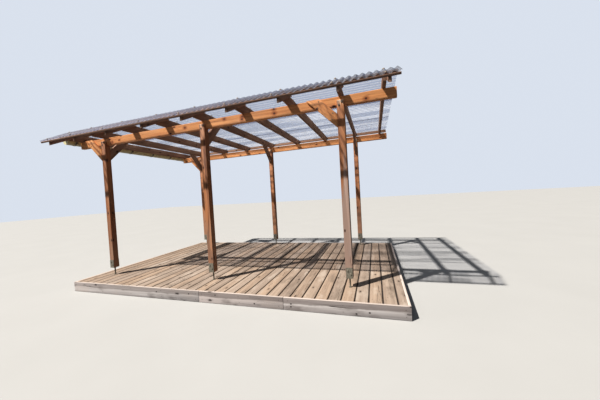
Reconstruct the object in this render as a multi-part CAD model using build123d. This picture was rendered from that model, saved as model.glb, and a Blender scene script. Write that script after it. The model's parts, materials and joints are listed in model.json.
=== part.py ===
from build123d import *
import math
import os

os.makedirs("parts", exist_ok=True)

# Post grid. X runs along the length, Y from front to back, Z up from the underside of the deck.
# The right front post stands at X = 0, Y = 0.
bay = 2020.0
bays = 2
row_gap = 2550.0

# Deck
deck_height = 150.0
deck_past_right = 650.0
deck_past_left = 330.0
deck_past_front = 443.0
deck_past_back = 200.0
board_width = 142.0
board_gap = 8.0
board_thick = 28.0
board_line = 228.0
board_narrowest = 30.0
bearer_width = 60.0
bearer_count = 7
bearer_inset = 60.0
fascia_thick = 28.0
fascia_joint_gap = 3.0
fascia_joints = [-1950.0, -750.0]

# Posts and their shoes
post_width = 90.0
post_lift = 130.0
edge_bevel = 4.0
shoe_plate = 5.0
shoe_height = 130.0
shoe_width = 80.0
foot_radius = 20.0
rod_radius = 10.0
nut_height = 14.0
nut_radius = 17.0

# Beams. The post top keeps a cheek in front of the beam, as thick as the post less the beam.
beam_thick = 60.0
beam_height = 120.0
beam_seat = 2270.0
beam_past_right = 650.0
cheek_height = 70.0
cheek_bevel = 10.0

# The whole roof falls a little to the left, towards the gutter.
roof_fall = 0.4

# Purlins stand on edge on the beams.
purlin_thick = 40.0
purlin_height = 120.0
purlin_overhang = 200.0
purlins_per_bay = 3
left_purlin_past_post = 560.0
right_purlin_past_post = 512.0

# Knee braces
brace_width = 120.0
brace_thick = 40.0
brace_drop = 266.0
brace_pitch = 45.0

# Tail battens, on the right side of each purlin
tail_thick = 30.0
tail_height = 50.0
tail_pitch = 25.5
tail_reach = 510.0
tail_dip = 13.0

# Laths under the sheets
lath_thick = 25.0
lath_width = 40.0
lath_past_tail = 16.0
back_lath_height = 60.0

# Corrugated sheets
wave_pitch = 76.0
wave_depth = 18.0
wave_steps = 8
sheet_thick = 1.5
seat_gap = 0.3
roof_right = 660.0
lap_waves = 1
drip_past_purlin = 120.0
apron_past_lath = 10.0
apron_lap = 8.0

# Gutter
gutter_radius = 63.0
gutter_side = 22.0
gutter_wall = 2.0
gutter_space = 25.0
gutter_rim = 150.0
bead_radius = 6.0
bracket_thick = 4.0
bracket_width = 25.0
bracket_leg = 60.0
bracket_count = 6
bracket_inset = 120.0

# Places that follow from the sizes above
half_post = post_width / 2
cheek = post_width - beam_thick
seat_z = deck_height + beam_seat
deck_right = deck_past_right
deck_left = -bay * bays - deck_past_left
deck_front = -deck_past_front
deck_back = row_gap + deck_past_back
post_columns = {"left": -bay * bays, "middle": -bay, "right": 0.0}
post_rows = {"front": 0.0, "back": row_gap}
purlin_pitch = bay / purlins_per_bay
purlin_low = beam_height
purlin_top = beam_height + purlin_height
purlin_front = -purlin_overhang
purlin_back = row_gap + purlin_overhang
purlin_count = bays * purlins_per_bay + 1
purlin_places = [-bay * bays - left_purlin_past_post]
purlin_places += [-bay * bays + purlin_pitch * i for i in range(purlin_count)]
purlin_places += [right_purlin_past_post]
roof_left = purlin_places[0] - purlin_thick / 2 - drip_past_purlin
beam_right = beam_past_right
beam_left = purlin_places[0] - purlin_thick / 2
tail_slope = math.tan(math.radians(tail_pitch))

# The roof frame: Z = 0 is the underside of the beams, turned about the right front post's seat.
roof_frame = Location((0, 0, seat_z), (0, -roof_fall, 0))


def block(low, high):
    """Square-cut piece between two opposite corners."""
    size = [b - a for a, b in zip(low, high)]
    return Pos(*low) * Box(*size, align=(Align.MIN, Align.MIN, Align.MIN))


def prism(outline, sweep):
    """Flat outline, given by its corners in space, swept along a vector."""
    face = make_face(Polyline(*outline, close=True))
    path = Vector(*sweep)
    return extrude(face, amount=path.length, dir=path.normalized())


def seat_height(x):
    """Height of the beams' underside above the ground at a place along the length."""
    return seat_z + x * math.tan(math.radians(roof_fall))


def above_roof_plane(height, x, y, reach):
    """Block that takes away all that stands over a level of the roof frame near a post."""
    room = reach * 2
    return roof_frame * block((x - reach, y - reach, height), (x + reach, y + reach, height + room))


def post(x, y):
    """Post with bevelled edges, notched behind its cheek so that the beam sits in it."""
    foot = deck_height + post_lift
    head = seat_height(x) + beam_height
    shaft = block((x - half_post, y - half_post, foot), (x + half_post, y + half_post, head))
    shaft = chamfer(shaft.edges().filter_by(Axis.Z), edge_bevel)
    wide = post_width
    tall = beam_height * 2
    notch_low = (x - wide, y - half_post + cheek, 0)
    notch = roof_frame * block(notch_low, (x + wide, y + wide, tall))
    front = y - half_post
    bevel = [(x - wide, front - cheek_bevel, cheek_height - cheek_bevel * 2),
             (x - wide, front + cheek_bevel, cheek_height),
             (x - wide, front - cheek_bevel, cheek_height)]
    shaft = shaft - notch - above_roof_plane(cheek_height, x, y, wide)
    return shaft - roof_frame * prism(bevel, (wide * 2, 0, 0))


def post_shoe(x, y):
    """U-shaped bracket on a rod with a nut, welded to a small round foot on the deck."""
    wood = deck_height + post_lift
    outer = half_post + shoe_plate
    side = shoe_width / 2
    room = post_width * 2
    bracket = block((x - side, y - outer, wood - shoe_plate), (x + side, y + outer, wood + shoe_height))
    bracket -= block((x - room, y - half_post, wood), (x + room, y + half_post, wood + room))
    foot = Pos(x, y, deck_height) * extrude(Circle(foot_radius), amount=shoe_plate)
    rod_low = deck_height + shoe_plate
    rod_length = post_lift - shoe_plate * 2
    rod = Pos(x, y, rod_low) * extrude(Circle(rod_radius), amount=rod_length)
    nut_place = Pos(x, y, wood - shoe_plate - nut_height)
    nut = nut_place * extrude(RegularPolygon(nut_radius, 6), amount=nut_height)
    return bracket + foot + rod + nut


def beam(y):
    """Beam along one row of posts, behind the cheeks and flush with the posts' backs."""
    low = (beam_left, y - half_post + cheek, 0)
    bar = block(low, (beam_right, y + half_post, beam_height))
    return roof_frame * chamfer(bar.edges().filter_by(Axis.X), edge_bevel)


def purlin(x):
    """Plank on edge from over the front beam to over the back beam."""
    low = (x - purlin_thick / 2, purlin_front, purlin_low)
    return roof_frame * block(low, (x + purlin_thick / 2, purlin_back, purlin_top))


def brace_outline(start, width):
    """Corners of a brace in its own plane, as runs away from the post and heights."""
    rise = math.tan(math.radians(brace_pitch))
    edge = width / math.cos(math.radians(brace_pitch))
    run = (brace_drop + beam_height * 2) / rise
    return [(0, start), (run, start + run * rise), (run, start + run * rise + edge), (0, start + edge)]


def row_brace(x, y):
    """Knee brace on the left of a post, as thick as the cheek and lapped over the beam."""
    wall = x - half_post
    start = seat_height(x) - brace_drop
    corners = [(wall - run, y - half_post, z) for run, z in brace_outline(start, brace_width)]
    board = prism(corners, (0, cheek, 0))
    return board - above_roof_plane(beam_height, x, y, bay / 2)


def purlin_brace(x, y, side):
    """Knee brace from a post's inner face to the underside of the purlin over it."""
    wall = y + side * half_post
    start = seat_height(x) - brace_drop
    left = x - brace_thick / 2
    corners = [(left, wall + side * run, z) for run, z in brace_outline(start, brace_width)]
    board = prism(corners, (brace_thick, 0, 0))
    return board - above_roof_plane(purlin_low, x, y, bay / 2)


def tail_low(y):
    """Height of the tail battens' lower edge in the roof frame."""
    return -tail_dip + (y + tail_reach) * tail_slope


def tail(x):
    """Sloping batten on a purlin's right side, cut flush with the purlin's top."""
    edge = tail_height / math.cos(math.radians(tail_pitch))
    side = x + purlin_thick / 2
    front = -tail_reach
    low_end = front + (purlin_top + tail_dip) / tail_slope
    high_end = front + (purlin_top + tail_dip - edge) / tail_slope
    corners = [(side, front, tail_low(front)),
               (side, low_end, purlin_top),
               (side, high_end, purlin_top),
               (side, front, tail_low(front) + edge)]
    return roof_frame * prism(corners, (tail_thick, 0, 0))


# The front lath lies flat on the tail battens, so it has their slope.
tail_top = tail_height / math.cos(math.radians(tail_pitch))
lath_frame = Location((0, -tail_reach, tail_low(-tail_reach) + tail_top), (tail_pitch, 0, 0))
lath_corner_y = -tail_reach - lath_past_tail * math.cos(math.radians(tail_pitch))
lath_corner_y -= lath_thick * math.sin(math.radians(tail_pitch))
lath_corner_z = tail_low(-tail_reach) + tail_top - lath_past_tail * math.sin(math.radians(tail_pitch))
lath_corner_z += lath_thick * math.cos(math.radians(tail_pitch))

# The apron sheets lie on the lath's upper front edge and on the purlins' upper front edges.
apron_rise = purlin_top - lath_corner_z
apron_run = purlin_front - lath_corner_y
apron_pitch = math.degrees(math.atan2(apron_rise, apron_run))
apron_frame = Location((0, lath_corner_y, lath_corner_z), (apron_pitch, 0, 0))
sheet_front = purlin_front + (wave_depth + sheet_thick + seat_gap * 3) / math.tan(math.radians(apron_pitch))
apron_low = -apron_past_lath
apron_high = (sheet_front + apron_lap - lath_corner_y) / math.cos(math.radians(apron_pitch))

# The sheets have whole waves. The three main ones reach over the back lath, and the apron has two.
roof_waves = math.ceil((purlin_back + lath_thick - sheet_front) / wave_pitch)
sheet_waves = math.ceil((roof_waves + lap_waves * 2) / 3)
right_apron_waves = math.ceil((roof_right - roof_left) / wave_pitch / 2)


def front_lath():
    """Batten along the front, on all the tails and under the apron's edge."""
    low = (roof_left, -lath_past_tail, 0)
    return roof_frame * lath_frame * block(low, (beam_right, lath_width - lath_past_tail, lath_thick))


def back_lath():
    """Board along the purlins' back ends."""
    low = (roof_left, purlin_back, purlin_top - back_lath_height)
    return roof_frame * block(low, (beam_right, purlin_back + lath_thick, purlin_top))


def wave(place):
    """Height of a corrugated sheet's underside, with a crest where the place is zero."""
    return wave_depth / 2 * (1 + math.cos(2 * math.pi * place / wave_pitch))


def corrugated(start, end, low, high, lift):
    """Sheet with waves across X from start to end and ridges along Y from low to high."""
    steps = round((end - start) / wave_pitch * wave_steps)
    places = [start + (end - start) * i / steps for i in range(steps + 1)]
    under = [(s, low, wave(s) + lift) for s in places]
    upper = [(s, low, wave(s) + lift + sheet_thick) for s in reversed(places)]
    return prism(under + upper, (0, high - low, 0))


def roof_sheet(first_wave, last_wave, lift):
    """Main sheet between two waves counted from the front, with its ridges along the length."""
    sheet = corrugated(first_wave * wave_pitch, last_wave * wave_pitch, 0, roof_right - roof_left, lift)
    return roof_frame * Pos(roof_right, sheet_front, purlin_top) * Rot(0, 0, 90) * sheet


def apron_sheet(start, end, lift):
    """Front sheet between two places counted from the right, with its ridges down the slope."""
    sheet = corrugated(start, end, apron_low, apron_high, lift)
    return roof_frame * apron_frame * Pos(roof_right, 0, 0) * sheet


def trough(radius, side):
    """Half-round channel section, open at the top, with straight sides up to the rim."""
    arc = ThreePointArc((-radius, -side), (0, -side - radius), (radius, -side))
    lines = Polyline((radius, -side), (radius, 0), (-radius, 0), (-radius, -side))
    return make_face(Curve() + [arc, lines])


gutter_wall_x = purlin_places[0] - purlin_thick / 2
gutter_x = gutter_wall_x - gutter_space - gutter_radius
gutter_front = purlin_front
gutter_back = purlin_back + lath_thick
gutter_frame = Location((gutter_x, gutter_back, gutter_rim), (90, 0, 0))


def gutter():
    """Half-round gutter with closed ends and a bead along its outer rim."""
    length = gutter_back - gutter_front
    outer = extrude(trough(gutter_radius, gutter_side), amount=length)
    inner = extrude(trough(gutter_radius - gutter_wall, gutter_side), amount=length - gutter_wall * 2)
    bead = extrude(Circle(bead_radius), amount=length)
    bead = Pos(-gutter_radius - bead_radius + gutter_wall, -bead_radius, 0) * bead
    return roof_frame * gutter_frame * (outer - Pos(0, 0, gutter_wall) * inner + bead)


def gutter_bracket(place):
    """Strap under the gutter, with an arm to the first purlin and a leg on its side."""
    inside = gutter_radius + seat_gap
    outside = inside + bracket_thick
    strap = trough(outside, gutter_side) - trough(inside, gutter_side)
    strap = extrude(strap, amount=bracket_width)
    clear = bead_radius * 2 + bracket_thick
    strap -= block((-outside * 2, -clear, -bracket_width), (0, clear, bracket_width * 2))
    reach = gutter_radius + gutter_space
    arm = block((inside, -bracket_thick, 0), (reach, 0, bracket_width))
    leg = block((reach - bracket_thick, -bracket_leg, 0), (reach, 0, bracket_width))
    return roof_frame * gutter_frame * Pos(0, 0, place) * (strap + arm + leg)


def gutter_brackets():
    """Evenly spaced brackets from one end of the gutter to the other."""
    run = gutter_back - gutter_front - bracket_inset * 2 - bracket_width
    return [gutter_bracket(bracket_inset + run * i / (bracket_count - 1)) for i in range(bracket_count)]


inner_right = deck_right - fascia_thick
inner_left = deck_left + fascia_thick
inner_front = deck_front + fascia_thick
inner_back = deck_back - fascia_thick
under_boards = deck_height - board_thick


def deck_boards():
    """Boards laid front to back with open gaps, the outer ones ripped to fit."""
    pitch = board_width + board_gap
    first = math.ceil((inner_left - board_line - board_width) / pitch)
    last = math.floor((inner_right - board_line) / pitch)
    boards = []
    for i in range(first, last + 1):
        left = max(board_line + board_gap / 2 + i * pitch, inner_left)
        right = min(board_line + board_gap / 2 + i * pitch + board_width, inner_right)
        if right - left > board_narrowest:
            boards.append(block((left, inner_front, under_boards), (right, inner_back, deck_height)))
    return boards


def deck_bearers():
    """Bearers on edge along the length, which carry the boards and lie on the ground."""
    run = inner_back - inner_front - bearer_inset * 2 - bearer_width
    bearers = []
    for i in range(bearer_count):
        front = inner_front + bearer_inset + run * i / (bearer_count - 1)
        bearers.append(block((inner_left, front, 0), (inner_right, front + bearer_width, under_boards)))
    return bearers


def front_fascia():
    """Boards along the deck's front edge, butted with narrow joints."""
    half_joint = fascia_joint_gap / 2
    stops = [deck_left - half_joint] + fascia_joints + [deck_right + half_joint]
    pieces = []
    for left, right in zip(stops[:-1], stops[1:]):
        low = (left + half_joint, deck_front, 0)
        pieces.append(block(low, (right - half_joint, inner_front, deck_height)))
    return pieces


def end_fascia(x):
    """Board along one end of the deck, between the front and back boards."""
    return block((x, inner_front, 0), (x + fascia_thick, inner_back, deck_height))


def back_fascia():
    """Board along the deck's back edge."""
    return block((deck_left, inner_back, 0), (deck_right, deck_back, deck_height))


nodes = {}
for row, row_y in post_rows.items():
    for column, column_x in post_columns.items():
        nodes[f"post_{row}_{column}"] = [post(column_x, row_y)]
        nodes[f"post_shoe_{row}_{column}"] = [post_shoe(column_x, row_y)]
    nodes[f"beam_{row}"] = [beam(row_y)]
for number, place in enumerate(purlin_places, start=1):
    nodes[f"purlin_{number}"] = [purlin(place)]
nodes["purlin_tails"] = [tail(place) for place in purlin_places]
for row, column in [("front", "left"), ("front", "right"), ("back", "left")]:
    nodes[f"row_brace_{row}_{column}"] = [row_brace(post_columns[column], post_rows[row])]
for column in ["left", "middle"]:
    nodes[f"purlin_brace_front_{column}"] = [purlin_brace(post_columns[column], post_rows["front"], 1)]
for column in ["left", "middle", "right"]:
    nodes[f"purlin_brace_back_{column}"] = [purlin_brace(post_columns[column], post_rows["back"], -1)]
nodes["front_lath"] = [front_lath()]
nodes["back_lath"] = [back_lath()]
middle_lift = sheet_thick + seat_gap * 2
nodes["roof_sheet_front"] = [roof_sheet(0, sheet_waves, seat_gap)]
back_start = roof_waves - sheet_waves
nodes["roof_sheet_middle"] = [roof_sheet(sheet_waves - lap_waves, back_start + lap_waves, middle_lift)]
nodes["roof_sheet_back"] = [roof_sheet(back_start, roof_waves, seat_gap)]
apron_split = -right_apron_waves * wave_pitch
nodes["apron_sheet_right"] = [apron_sheet(apron_split, 0, seat_gap)]
left_apron_end = apron_split + lap_waves * wave_pitch
nodes["apron_sheet_left"] = [apron_sheet(roof_left - roof_right, left_apron_end, middle_lift)]
nodes["gutter"] = [gutter()]
nodes["gutter_brackets"] = gutter_brackets()
nodes["deck_boards"] = deck_boards()
nodes["deck_bearers"] = deck_bearers()
nodes["deck_fascia_front"] = front_fascia()
nodes["deck_fascia_left"] = [end_fascia(deck_left)]
nodes["deck_fascia_right"] = [end_fascia(deck_right - fascia_thick)]
nodes["deck_fascia_back"] = [back_fascia()]

# The part's own origin is under the middle of its bounding box.
everything = Compound([piece for pieces in nodes.values() for piece in pieces])
box = everything.bounding_box()
centring = Pos(-(box.min.X + box.max.X) / 2, -(box.min.Y + box.max.Y) / 2, -box.min.Z)

for name, pieces in nodes.items():
    placed = [centring * piece for piece in pieces]
    shape = placed[0] if len(placed) == 1 else Compound(placed)
    export_step(shape, f"parts/{name}.step")

print("moved by", centring.position)
print("size", box.size, "nodes", len(nodes))
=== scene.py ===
"""Looks of a wooden pergola with a corrugated roof, built round its packed construction."""

import json
import logging
import math
import random
from collections.abc import Callable
from dataclasses import dataclass, replace
from enum import Enum

import bpy
from mathutils import Euler, Matrix, Vector

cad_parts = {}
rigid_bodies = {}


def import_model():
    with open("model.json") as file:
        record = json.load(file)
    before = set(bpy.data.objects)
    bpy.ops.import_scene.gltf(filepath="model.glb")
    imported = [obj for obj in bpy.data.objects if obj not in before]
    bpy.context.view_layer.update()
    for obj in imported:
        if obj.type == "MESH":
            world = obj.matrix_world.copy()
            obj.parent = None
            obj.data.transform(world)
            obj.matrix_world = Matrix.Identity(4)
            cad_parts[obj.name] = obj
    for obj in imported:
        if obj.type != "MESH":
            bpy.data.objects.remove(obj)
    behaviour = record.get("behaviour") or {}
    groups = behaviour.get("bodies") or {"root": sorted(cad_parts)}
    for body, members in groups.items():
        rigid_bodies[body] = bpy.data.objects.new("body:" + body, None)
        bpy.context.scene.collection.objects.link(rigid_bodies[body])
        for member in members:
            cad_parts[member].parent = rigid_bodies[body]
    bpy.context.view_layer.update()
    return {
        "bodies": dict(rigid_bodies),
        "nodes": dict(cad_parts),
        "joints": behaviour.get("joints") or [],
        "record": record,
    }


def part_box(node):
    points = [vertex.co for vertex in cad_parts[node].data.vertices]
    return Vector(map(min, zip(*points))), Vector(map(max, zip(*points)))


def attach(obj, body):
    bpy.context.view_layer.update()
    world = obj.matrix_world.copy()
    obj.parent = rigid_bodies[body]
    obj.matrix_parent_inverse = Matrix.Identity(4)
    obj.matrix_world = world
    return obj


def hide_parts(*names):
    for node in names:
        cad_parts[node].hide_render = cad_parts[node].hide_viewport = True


LOG = logging.getLogger("pergola")
BODY = "root"
MM = 0.001

Colour = tuple[float, float, float]
Point = tuple[float, float, float]
Run = tuple[str, int, int, bool]
Piece = bpy.types.Object
Socket = bpy.types.NodeSocket
Value = float | Socket
Part = bpy.types.MeshVertex | bpy.types.MeshPolygon
Owner = bpy.types.Material | bpy.types.World

LEVEL = 90.0
ANY_TURN = 3
HEX_TURN = 1
UP: Point = (0.0, 0.0, 1.0)
FRONT: Point = (0.0, -1.0, 0.0)
CRACK: Colour = (0.012, 0.008, 0.006)
DRY_CRACK: Colour = (0.020, 0.016, 0.014)
EDGES = {"front": FRONT, "left": (-1.0, 0.0, 0.0), "right": (1.0, 0.0, 0.0), "back": (0.0, 1.0, 0.0)}


class Grain(Enum):
    """Turn, in degrees, that brings a timber's grain onto the pattern's own X axis."""

    LENGTH = (0.0, 0.0, 0.0)
    DEPTH = (0.0, 0.0, -90.0)
    HEIGHT = (0.0, 90.0, 0.0)
    ROW_BRACE = (0.0, -45.0, 0.0)
    FRONT_BRACE = (-45.0, 0.0, -90.0)
    BACK_BRACE = (45.0, 0.0, -90.0)
    TAIL = (-25.5, 0.0, -90.0)


GRAINS = {"post_": Grain.HEIGHT, "row_brace": Grain.ROW_BRACE, "purlin_brace_front": Grain.FRONT_BRACE,
          "purlin_brace_back": Grain.BACK_BRACE, "purlin_tails": Grain.TAIL, "purlin_": Grain.DEPTH}


def from_srgb(red: int, green: int, blue: int) -> Colour:
    """Turn a colour given in display values from 0 to 255 into linear light.

    Args:
        red: Red in display values.
        green: Green in display values.
        blue: Blue in display values.

    Returns:
        The three linear values from 0 to 1.
    """
    shares = [value / 255 for value in (red, green, blue)]
    return tuple(s / 12.92 if s <= 0.04045 else ((s + 0.055) / 1.055) ** 2.4 for s in shares)


class Graph:
    """The node tree of a material or world, with short calls for the nodes that the finishes share."""

    def __init__(self, owner: Owner) -> None:
        """Start an empty node tree.

        Args:
            owner: The new material or world.
        """
        owner.use_nodes = True
        self.owner = owner
        self.tree = owner.node_tree
        self.tree.nodes.clear()

    def add(self, kind: str, inputs: dict | None = None, **settings: object) -> bpy.types.Node:
        """Add a node.

        Args:
            kind: The node's type, without the ShaderNode prefix.
            inputs: Values or sockets by input name or index.
            **settings: Properties of the node itself.

        Returns:
            The new node.
        """
        node = self.tree.nodes.new("ShaderNode" + kind)
        for key, value in settings.items():
            setattr(node, key, value)
        for key, value in (inputs or {}).items():
            if isinstance(value, bpy.types.NodeSocket):
                self.tree.links.new(value, node.inputs[key])
            else:
                node.inputs[key].default_value = value
        return node

    def finish(self, shader: bpy.types.Node, output: str = "OutputMaterial") -> Owner:
        """Connect the last shader to the output and return the material or world."""
        self.tree.links.new(shader.outputs[0], self.add(output).inputs[0])
        return self.owner

    def surface(self, inputs: dict) -> bpy.types.Material:
        """Finish with one principled shader."""
        return self.finish(self.add("BsdfPrincipled", inputs))

    def place(self, turn: Point = (0.0, 0.0, 0.0), shift: Point = (0.0, 0.0, 0.0)) -> Socket:
        """Object coordinates, turned and moved.

        Args:
            turn: Turn about each axis, in degrees.
            shift: Move along each axis, in metres.

        Returns:
            The coordinates.
        """
        coords = self.add("TexCoord").outputs["Object"]
        turned = Euler([math.radians(angle) for angle in turn])
        return self.add("Mapping", {"Vector": coords, "Location": shift, "Rotation": turned}).outputs[0]

    def axis(self, index: int) -> Socket:
        """One object coordinate: 0 for X, 1 for Y, 2 for Z."""
        return self.add("SeparateXYZ", {0: self.place()}).outputs[index]

    def stretch(self, vector: Socket, scale: Point) -> Socket:
        """A vector multiplied axis by axis."""
        return self.add("VectorMath", {0: vector, 1: scale}, operation="MULTIPLY").outputs[0]

    def sum(self, vector: Socket, other: Socket) -> Socket:
        """Two vectors added."""
        return self.add("VectorMath", {0: vector, 1: other}, operation="ADD").outputs[0]

    def noise(self, vector: Socket, cells: Point | float = 1.0, detail: float = 3.0, rough: float = 0.55,
              bend: float = 0.0) -> Socket:
        """Fractal noise from 0 to 1.

        Args:
            vector: Coordinates, in metres.
            cells: Cells to a metre along each axis, or one number for all.
            detail: Number of finer layers.
            rough: Share of each finer layer.
            bend: How far the pattern is bent.

        Returns:
            The noise.
        """
        scale = cells if isinstance(cells, tuple) else (cells, cells, cells)
        values = {"Vector": self.stretch(vector, scale), "Scale": 1.0, "Detail": detail, "Roughness": rough,
                  "Distortion": bend}
        return self.add("TexNoise", values).outputs[0]

    def math(self, operation: str, first: Value, second: Value = 0.0, clamp: bool = False) -> Socket:
        """One arithmetic step on two values or sockets."""
        return self.add("Math", {0: first, 1: second}, operation=operation, use_clamp=clamp).outputs[0]

    def times(self, first: Value, second: Value) -> Socket:
        """Product of two values or sockets."""
        return self.math("MULTIPLY", first, second)

    def plus(self, first: Value, second: Value, clamp: bool = False) -> Socket:
        """Sum of two values or sockets."""
        return self.math("ADD", first, second, clamp)

    def minus(self, first: Value, second: Value) -> Socket:
        """Difference of two values or sockets."""
        return self.math("SUBTRACT", first, second)

    def remap(self, value: Value, low: float, high: float, to_low: float = 0.0, to_high: float = 1.0) -> Socket:
        """Smooth step of a value from one range to another."""
        inputs = {"Value": value, "From Min": low, "From Max": high, "To Min": to_low, "To Max": to_high}
        return self.add("MapRange", inputs, interpolation_type="SMOOTHSTEP").outputs[0]

    def ragged(self, value: Socket, noise: Socket, reach: float) -> Socket:
        """A value moved up and down by a noise, as far as the reach."""
        return self.plus(value, self.remap(noise, 0.3, 0.7, -reach, reach))

    def mix(self, factor: Value, first: Colour | Socket, second: Colour | Socket) -> Socket:
        """Blend of two colours or colour sockets."""
        colours = [c if isinstance(c, Socket) else (*c, 1.0) for c in (first, second)]
        return self.add("Mix", {0: factor, 6: colours[0], 7: colours[1]}, data_type="RGBA").outputs[2]

    def bump(self, height: Socket, distance: float, strength: float) -> Socket:
        """Bump from a height, with its relief in metres."""
        return self.add("Bump", {"Height": height, "Distance": distance, "Strength": strength}).outputs[0]

    def knots(self, along: Socket, share: float, spacing: tuple[float, float]) -> tuple[Socket, Socket]:
        """Knots on a timber, one to a cell of a flat pattern.

        Args:
            along: Coordinates with the grain along X.
            share: Share of the cells that have a knot.
            spacing: Cells to a metre along and across the grain.

        Returns:
            Masks of the knots and of the grain that flows round them.
        """
        split = self.add("SeparateXYZ", {0: along})
        side = self.plus(split.outputs[1], split.outputs[2])
        flat = self.add("CombineXYZ", {0: self.times(split.outputs[0], spacing[0]),
                                       1: self.times(side, spacing[1])})
        cell = self.add("TexVoronoi", {"Vector": flat.outputs[0], "Scale": 1.0}, voronoi_dimensions="2D")
        pick = self.add("SeparateColor", {0: cell.outputs["Color"]}).outputs[0]
        keep = self.remap(pick, 1.0 - share, 1.02 - share)
        wobble = self.remap(self.noise(along, 30.0, 1.0), 0.2, 0.8, -0.015, 0.015)
        near = self.plus(cell.outputs["Distance"], wobble)
        core = self.times(keep, self.remap(near, 0.080, 0.055))
        return core, self.times(keep, self.remap(near, 0.17, 0.075))

    def spot(self, x: float, z: float, flatness: float = 1.3) -> Socket:
        """Distance from a line through a timber at one place on its front face, ragged by a few millimetres.

        Args:
            x: Place along the timber.
            z: Height.
            flatness: How many times longer than high a ring of one distance is.

        Returns:
            The distance, in metres.
        """
        base = self.place()
        ends = {0: self.stretch(base, (1.0, 0.0, flatness)), 1: (x, 0.0, flatness * z)}
        away = self.add("VectorMath", ends, operation="DISTANCE").outputs[1]
        return self.ragged(away, self.noise(base, 60.0, 2.0), 2 * MM)

    def checks(self, along: Socket, fineness: float) -> Socket:
        """Mask of drying checks: long thin lines along the grain, here and there.

        Args:
            along: Coordinates with the grain along X.
            fineness: Noise cells to a metre across the grain.

        Returns:
            The mask, 1 in a check.
        """
        lines = self.noise(along, (0.9, fineness, fineness), 2.0, 0.5, 0.15)
        thin = self.remap(self.math("ABSOLUTE", self.minus(lines, 0.5)), 0.010, 0.003)
        where = self.noise(along, (1.2, fineness / 4, fineness / 4), 1.0)
        return self.times(thin, self.remap(where, 0.5, 0.6))


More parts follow.
